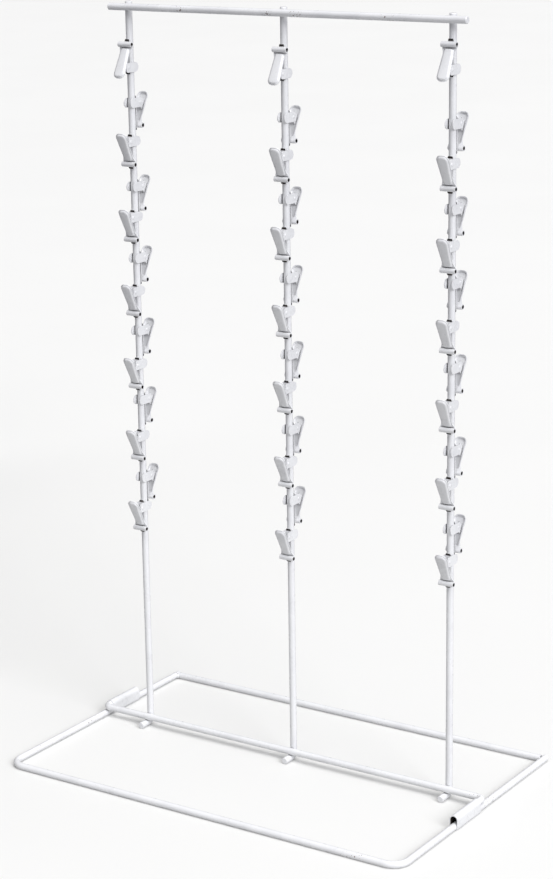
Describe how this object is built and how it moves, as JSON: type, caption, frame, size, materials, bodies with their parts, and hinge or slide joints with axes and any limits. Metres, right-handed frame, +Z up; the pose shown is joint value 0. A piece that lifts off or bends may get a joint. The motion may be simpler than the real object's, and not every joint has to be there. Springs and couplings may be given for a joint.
{
  "type": "clip stand",
  "caption": "Free-standing white wire stand: upright rods on a floor frame carry columns of small sprung clips for hanging light items.",
  "frame": {"origin": "on the floor under the middle of the floor frame", "axes": "+X across the stand to its right seen from the front, +Y to its back, +Z up along the rods"},
  "size_m": [0.4274, 0.2724, 0.694],
  "materials": {
    "powder_coat": "satin white powder coat",
    "bare_steel": "zinc plated"
  },
  "bodies": {
    "stand": {"base_wire": "powder_coat", "rear_bar": "powder_coat", "lower_bar": "powder_coat", "rod_left": "powder_coat", "rod_middle": "powder_coat", "rod_right": "powder_coat", "top_bar": "powder_coat", "welds": "powder_coat", "saddles_left": "powder_coat", "saddles_middle": "powder_coat", "saddles_right": "powder_coat", "pins_left": "powder_coat", "pins_middle": "powder_coat", "pins_right": "powder_coat", "springs_left": "bare_steel", "springs_middle": "bare_steel", "springs_right": "bare_steel"},
    "sleeve_left": {"sleeve_left": "powder_coat"},
    "sleeve_right": {"sleeve_right": "powder_coat"},
    "lever_left_header": {"lever_left_header": "powder_coat"},
    "lever_left_front_1": {"lever_left_front_1": "powder_coat"},
    "lever_left_front_2": {"lever_left_front_2": "powder_coat"},
    "lever_left_front_3": {"lever_left_front_3": "powder_coat"},
    "lever_left_front_4": {"lever_left_front_4": "powder_coat"},
    "lever_left_front_5": {"lever_left_front_5": "powder_coat"},
    "lever_left_front_6": {"lever_left_front_6": "powder_coat"},
    "lever_left_back_1": {"lever_left_back_1": "powder_coat"},
    "lever_left_back_2": {"lever_left_back_2": "powder_coat"},
    "lever_left_back_3": {"lever_left_back_3": "powder_coat"},
    "lever_left_back_4": {"lever_left_back_4": "powder_coat"},
    "lever_left_back_5": {"lever_left_back_5": "powder_coat"},
    "lever_left_back_6": {"lever_left_back_6": "powder_coat"},
    "lever_middle_header": {"lever_middle_header": "powder_coat"},
    "lever_middle_front_1": {"lever_middle_front_1": "powder_coat"},
    "lever_middle_front_2": {"lever_middle_front_2": "powder_coat"},
    "lever_middle_front_3": {"lever_middle_front_3": "powder_coat"},
    "lever_middle_front_4": {"lever_middle_front_4": "powder_coat"},
    "lever_middle_front_5": {"lever_middle_front_5": "powder_coat"},
    "lever_middle_front_6": {"lever_middle_front_6": "powder_coat"},
    "lever_middle_back_1": {"lever_middle_back_1": "powder_coat"},
    "lever_middle_back_2": {"lever_middle_back_2": "powder_coat"},
    "lever_middle_back_3": {"lever_middle_back_3": "powder_coat"},
    "lever_middle_back_4": {"lever_middle_back_4": "powder_coat"},
    "lever_middle_back_5": {"lever_middle_back_5": "powder_coat"},
    "lever_middle_back_6": {"lever_middle_back_6": "powder_coat"},
    "lever_right_header": {"lever_right_header": "powder_coat"},
    "lever_right_front_1": {"lever_right_front_1": "powder_coat"},
    "lever_right_front_2": {"lever_right_front_2": "powder_coat"},
    "lever_right_front_3": {"lever_right_front_3": "powder_coat"},
    "lever_right_front_4": {"lever_right_front_4": "powder_coat"},
    "lever_right_front_5": {"lever_right_front_5": "powder_coat"},
    "lever_right_front_6": {"lever_right_front_6": "powder_coat"},
    "lever_right_back_1": {"lever_right_back_1": "powder_coat"},
    "lever_right_back_2": {"lever_right_back_2": "powder_coat"},
    "lever_right_back_3": {"lever_right_back_3": "powder_coat"},
    "lever_right_back_4": {"lever_right_back_4": "powder_coat"},
    "lever_right_back_5": {"lever_right_back_5": "powder_coat"},
    "lever_right_back_6": {"lever_right_back_6": "powder_coat"}
  },
  "joints": [
    {"name": "lever_left_header_press", "type": "hinge", "parent": "stand", "child": "lever_left_header", "pos_m": [-0.1597, 0.01202, 0.6355], "axis": [1, 0, 0], "range_deg": [0, 30], "stiffness_Nm_per_rad": 0.08, "springref_deg": -51.57, "deforming": ["springs_left"]},
    {"name": "lever_left_front_1_press", "type": "hinge", "parent": "stand", "child": "lever_left_front_1", "pos_m": [-0.1597, 0.01202, 0.5685], "axis": [-1, 0, 0], "range_deg": [0, 30], "stiffness_Nm_per_rad": 0.08, "springref_deg": -51.57, "deforming": ["springs_left"]},
    {"name": "lever_left_front_2_press", "type": "hinge", "parent": "stand", "child": "lever_left_front_2", "pos_m": [-0.1597, 0.01202, 0.4992], "axis": [-1, 0, 0], "range_deg": [0, 30], "stiffness_Nm_per_rad": 0.08, "springref_deg": -51.57, "deforming": ["springs_left"]},
    {"name": "lever_left_front_3_press", "type": "hinge", "parent": "stand", "child": "lever_left_front_3", "pos_m": [-0.1597, 0.01202, 0.4299], "axis": [-1, 0, 0], "range_deg": [0, 30], "stiffness_Nm_per_rad": 0.08, "springref_deg": -51.57, "deforming": ["springs_left"]},
    {"name": "lever_left_front_4_press", "type": "hinge", "parent": "stand", "child": "lever_left_front_4", "pos_m": [-0.1597, 0.01202, 0.3606], "axis": [-1, 0, 0], "range_deg": [0, 30], "stiffness_Nm_per_rad": 0.08, "springref_deg": -51.57, "deforming": ["springs_left"]},
    {"name": "lever_left_front_5_press", "type": "hinge", "parent": "stand", "child": "lever_left_front_5", "pos_m": [-0.1597, 0.01202, 0.2913], "axis": [-1, 0, 0], "range_deg": [0, 30], "stiffness_Nm_per_rad": 0.08, "springref_deg": -51.57, "deforming": ["springs_left"]},
    {"name": "lever_left_front_6_press", "type": "hinge", "parent": "stand", "child": "lever_left_front_6", "pos_m": [-0.1597, 0.01202, 0.222], "axis": [-1, 0, 0], "range_deg": [0, 30], "stiffness_Nm_per_rad": 0.08, "springref_deg": -51.57, "deforming": ["springs_left"]},
    {"name": "lever_left_back_1_press", "type": "hinge", "parent": "stand", "child": "lever_left_back_1", "pos_m": [-0.1597, 0.02797, 0.603], "axis": [1, 0, 0], "range_deg": [0, 30], "stiffness_Nm_per_rad": 0.08, "springref_deg": -51.57, "deforming": ["springs_left"]},
    {"name": "lever_left_back_2_press", "type": "hinge", "parent": "stand", "child": "lever_left_back_2", "pos_m": [-0.1597, 0.02797, 0.5267], "axis": [1, 0, 0], "range_deg": [0, 30], "stiffness_Nm_per_rad": 0.08, "springref_deg": -51.57, "deforming": ["springs_left"]},
    {"name": "lever_left_back_3_press", "type": "hinge", "parent": "stand", "child": "lever_left_back_3", "pos_m": [-0.1597, 0.02797, 0.4604], "axis": [1, 0, 0], "range_deg": [0, 30], "stiffness_Nm_per_rad": 0.08, "springref_deg": -51.57, "deforming": ["springs_left"]},
    {"name": "lever_left_back_4_press", "type": "hinge", "parent": "stand", "child": "lever_left_back_4", "pos_m": [-0.1597, 0.02797, 0.3921], "axis": [1, 0, 0], "range_deg": [0, 30], "stiffness_Nm_per_rad": 0.08, "springref_deg": -51.57, "deforming": ["springs_left"]},
    {"name": "lever_left_back_5_press", "type": "hinge", "parent": "stand", "child": "lever_left_back_5", "pos_m": [-0.1597, 0.02797, 0.3258], "axis": [1, 0, 0], "range_deg": [0, 30], "stiffness_Nm_per_rad": 0.08, "springref_deg": -51.57, "deforming": ["springs_left"]},
    {"name": "lever_left_back_6_press", "type": "hinge", "parent": "stand", "child": "lever_left_back_6", "pos_m": [-0.1597, 0.02797, 0.2505], "axis": [1, 0, 0], "range_deg": [0, 30], "stiffness_Nm_per_rad": 0.08, "springref_deg": -51.57, "deforming": ["springs_left"]},
    {"name": "lever_middle_header_press", "type": "hinge", "parent": "stand", "child": "lever_middle_header", "pos_m": [0.006, 0.01202, 0.6375], "axis": [1, 0, 0], "range_deg": [0, 30], "stiffness_Nm_per_rad": 0.08, "springref_deg": -51.57, "deforming": ["springs_middle"]},
    {"name": "lever_middle_front_1_press", "type": "hinge", "parent": "stand", "child": "lever_middle_front_1", "pos_m": [0.006, 0.01202, 0.5665], "axis": [-1, 0, 0], "range_deg": [0, 30], "stiffness_Nm_per_rad": 0.08, "springref_deg": -51.57, "deforming": ["springs_middle"]},
    {"name": "lever_middle_front_2_press", "type": "hinge", "parent": "stand", "child": "lever_middle_front_2", "pos_m": [0.006, 0.01202, 0.4972], "axis": [-1, 0, 0], "range_deg": [0, 30], "stiffness_Nm_per_rad": 0.08, "springref_deg": -51.57, "deforming": ["springs_middle"]},
    {"name": "lever_middle_front_3_press", "type": "hinge", "parent": "stand", "child": "lever_middle_front_3", "pos_m": [0.006, 0.01202, 0.4279], "axis": [-1, 0, 0], "range_deg": [0, 30], "stiffness_Nm_per_rad": 0.08, "springref_deg": -51.57, "deforming": ["springs_middle"]},
    {"name": "lever_middle_front_4_press", "type": "hinge", "parent": "stand", "child": "lever_middle_front_4", "pos_m": [0.006, 0.01202, 0.3586], "axis": [-1, 0, 0], "range_deg": [0, 30], "stiffness_Nm_per_rad": 0.08, "springref_deg": -51.57, "deforming": ["springs_middle"]},
    {"name": "lever_middle_front_5_press", "type": "hinge", "parent": "stand", "child": "lever_middle_front_5", "pos_m": [0.006, 0.01202, 0.2893], "axis": [-1, 0, 0], "range_deg": [0, 30], "stiffness_Nm_per_rad": 0.08, "springref_deg": -51.57, "deforming": ["springs_middle"]},
    {"name": "lever_middle_front_6_press", "type": "hinge", "parent": "stand", "child": "lever_middle_front_6", "pos_m": [0.006, 0.01202, 0.22], "axis": [-1, 0, 0], "range_deg": [0, 30], "stiffness_Nm_per_rad": 0.08, "springref_deg": -51.57, "deforming": ["springs_middle"]},
    {"name": "lever_middle_back_1_press", "type": "hinge", "parent": "stand", "child": "lever_middle_back_1", "pos_m": [0.006, 0.02797, 0.599], "axis": [1, 0, 0], "range_deg": [0, 30], "stiffness_Nm_per_rad": 0.08, "springref_deg": -51.57, "deforming": ["springs_middle"]},
    {"name": "lever_middle_back_2_press", "type": "hinge", "parent": "stand", "child": "lever_middle_back_2", "pos_m": [0.006, 0.02797, 0.5277], "axis": [1, 0, 0], "range_deg": [0, 30], "stiffness_Nm_per_rad": 0.08, "springref_deg": -51.57, "deforming": ["springs_middle"]},
    {"name": "lever_middle_back_3_press", "type": "hinge", "parent": "stand", "child": "lever_middle_back_3", "pos_m": [0.006, 0.02797, 0.4574], "axis": [1, 0, 0], "range_deg": [0, 30], "stiffness_Nm_per_rad": 0.08, "springref_deg": -51.57, "deforming": ["springs_middle"]},
    {"name": "lever_middle_back_4_press", "type": "hinge", "parent": "stand", "child": "lever_middle_back_4", "pos_m": [0.006, 0.02797, 0.3881], "axis": [1, 0, 0], "range_deg": [0, 30], "stiffness_Nm_per_rad": 0.08, "springref_deg": -51.57, "deforming": ["springs_middle"]},
    {"name": "lever_middle_back_5_press", "type": "hinge", "parent": "stand", "child": "lever_middle_back_5", "pos_m": [0.006, 0.02797, 0.3188], "axis": [1, 0, 0], "range_deg": [0, 30], "stiffness_Nm_per_rad": 0.08, "springref_deg": -51.57, "deforming": ["springs_middle"]},
    {"name": "lever_middle_back_6_press", "type": "hinge", "parent": "stand", "child": "lever_middle_back_6", "pos_m": [0.006, 0.02797, 0.2525], "axis": [1, 0, 0], "range_deg": [0, 30], "stiffness_Nm_per_rad": 0.08, "springref_deg": -51.57, "deforming": ["springs_middle"]},
    {"name": "lever_right_header_press", "type": "hinge", "parent": "stand", "child": "lever_right_header", "pos_m": [0.1717, 0.01202, 0.6485], "axis": [1, 0, 0], "range_deg": [0, 30], "stiffness_Nm_per_rad": 0.08, "springref_deg": -51.57, "deforming": ["springs_right"]},
    {"name": "lever_right_front_1_press", "type": "hinge", "parent": "stand", "child": "lever_right_front_1", "pos_m": [0.1717, 0.01202, 0.5705], "axis": [-1, 0, 0], "range_deg": [0, 30], "stiffness_Nm_per_rad": 0.08, "springref_deg": -51.57, "deforming": ["springs_right"]},
    {"name": "lever_right_front_2_press", "type": "hinge", "parent": "stand", "child": "lever_right_front_2", "pos_m": [0.1717, 0.01202, 0.5012], "axis": [-1, 0, 0], "range_deg": [0, 30], "stiffness_Nm_per_rad": 0.08, "springref_deg": -51.57, "deforming": ["springs_right"]},
    {"name": "lever_right_front_3_press", "type": "hinge", "parent": "stand", "child": "lever_right_front_3", "pos_m": [0.1717, 0.01202, 0.4319], "axis": [-1, 0, 0], "range_deg": [0, 30], "stiffness_Nm_per_rad": 0.08, "springref_deg": -51.57, "deforming": ["springs_right"]},
    {"name": "lever_right_front_4_press", "type": "hinge", "parent": "stand", "child": "lever_right_front_4", "pos_m": [0.1717, 0.01202, 0.3626], "axis": [-1, 0, 0], "range_deg": [0, 30], "stiffness_Nm_per_rad": 0.08, "springref_deg": -51.57, "deforming": ["springs_right"]},
    {"name": "lever_right_front_5_press", "type": "hinge", "parent": "stand", "child": "lever_right_front_5", "pos_m": [0.1717, 0.01202, 0.2933], "axis": [-1, 0, 0], "range_deg": [0, 30], "stiffness_Nm_per_rad": 0.08, "springref_deg": -51.57, "deforming": ["springs_right"]},
    {"name": "lever_right_front_6_press", "type": "hinge", "parent": "stand", "child": "lever_right_front_6", "pos_m": [0.1717, 0.01202, 0.224], "axis": [-1, 0, 0], "range_deg": [0, 30], "stiffness_Nm_per_rad": 0.08, "springref_deg": -51.57, "deforming": ["springs_right"]},
    {"name": "lever_right_back_1_press", "type": "hinge", "parent": "stand", "child": "lever_right_back_1", "pos_m": [0.1717, 0.02797, 0.603], "axis": [1, 0, 0], "range_deg": [0, 30], "stiffness_Nm_per_rad": 0.08, "springref_deg": -51.57, "deforming": ["springs_right"]},
    {"name": "lever_right_back_2_press", "type": "hinge", "parent": "stand", "child": "lever_right_back_2", "pos_m": [0.1717, 0.02797, 0.5317], "axis": [1, 0, 0], "range_deg": [0, 30], "stiffness_Nm_per_rad": 0.08, "springref_deg": -51.57, "deforming": ["springs_right"]},
    {"name": "lever_right_back_3_press", "type": "hinge", "parent": "stand", "child": "lever_right_back_3", "pos_m": [0.1717, 0.02797, 0.4684], "axis": [1, 0, 0], "range_deg": [0, 30], "stiffness_Nm_per_rad": 0.08, "springref_deg": -51.57, "deforming": ["springs_right"]},
    {"name": "lever_right_back_4_press", "type": "hinge", "parent": "stand", "child": "lever_right_back_4", "pos_m": [0.1717, 0.02797, 0.3951], "axis": [1, 0, 0], "range_deg": [0, 30], "stiffness_Nm_per_rad": 0.08, "springref_deg": -51.57, "deforming": ["springs_right"]},
    {"name": "lever_right_back_5_press", "type": "hinge", "parent": "stand", "child": "lever_right_back_5", "pos_m": [0.1717, 0.02797, 0.3218], "axis": [1, 0, 0], "range_deg": [0, 30], "stiffness_Nm_per_rad": 0.08, "springref_deg": -51.57, "deforming": ["springs_right"]},
    {"name": "lever_right_back_6_press", "type": "hinge", "parent": "stand", "child": "lever_right_back_6", "pos_m": [0.1717, 0.02797, 0.2515], "axis": [1, 0, 0], "range_deg": [0, 30], "stiffness_Nm_per_rad": 0.08, "springref_deg": -51.57, "deforming": ["springs_right"]},
    {"name": "sleeve_left_slide", "type": "slide", "parent": "stand", "child": "sleeve_left", "axis": [0, 1, 0], "range_m": [-0.0015, 0.036]},
    {"name": "sleeve_right_slide", "type": "slide", "parent": "stand", "child": "sleeve_right", "axis": [0, -1, 0], "range_m": [-0.0061, 0.0314]}
  ]
}
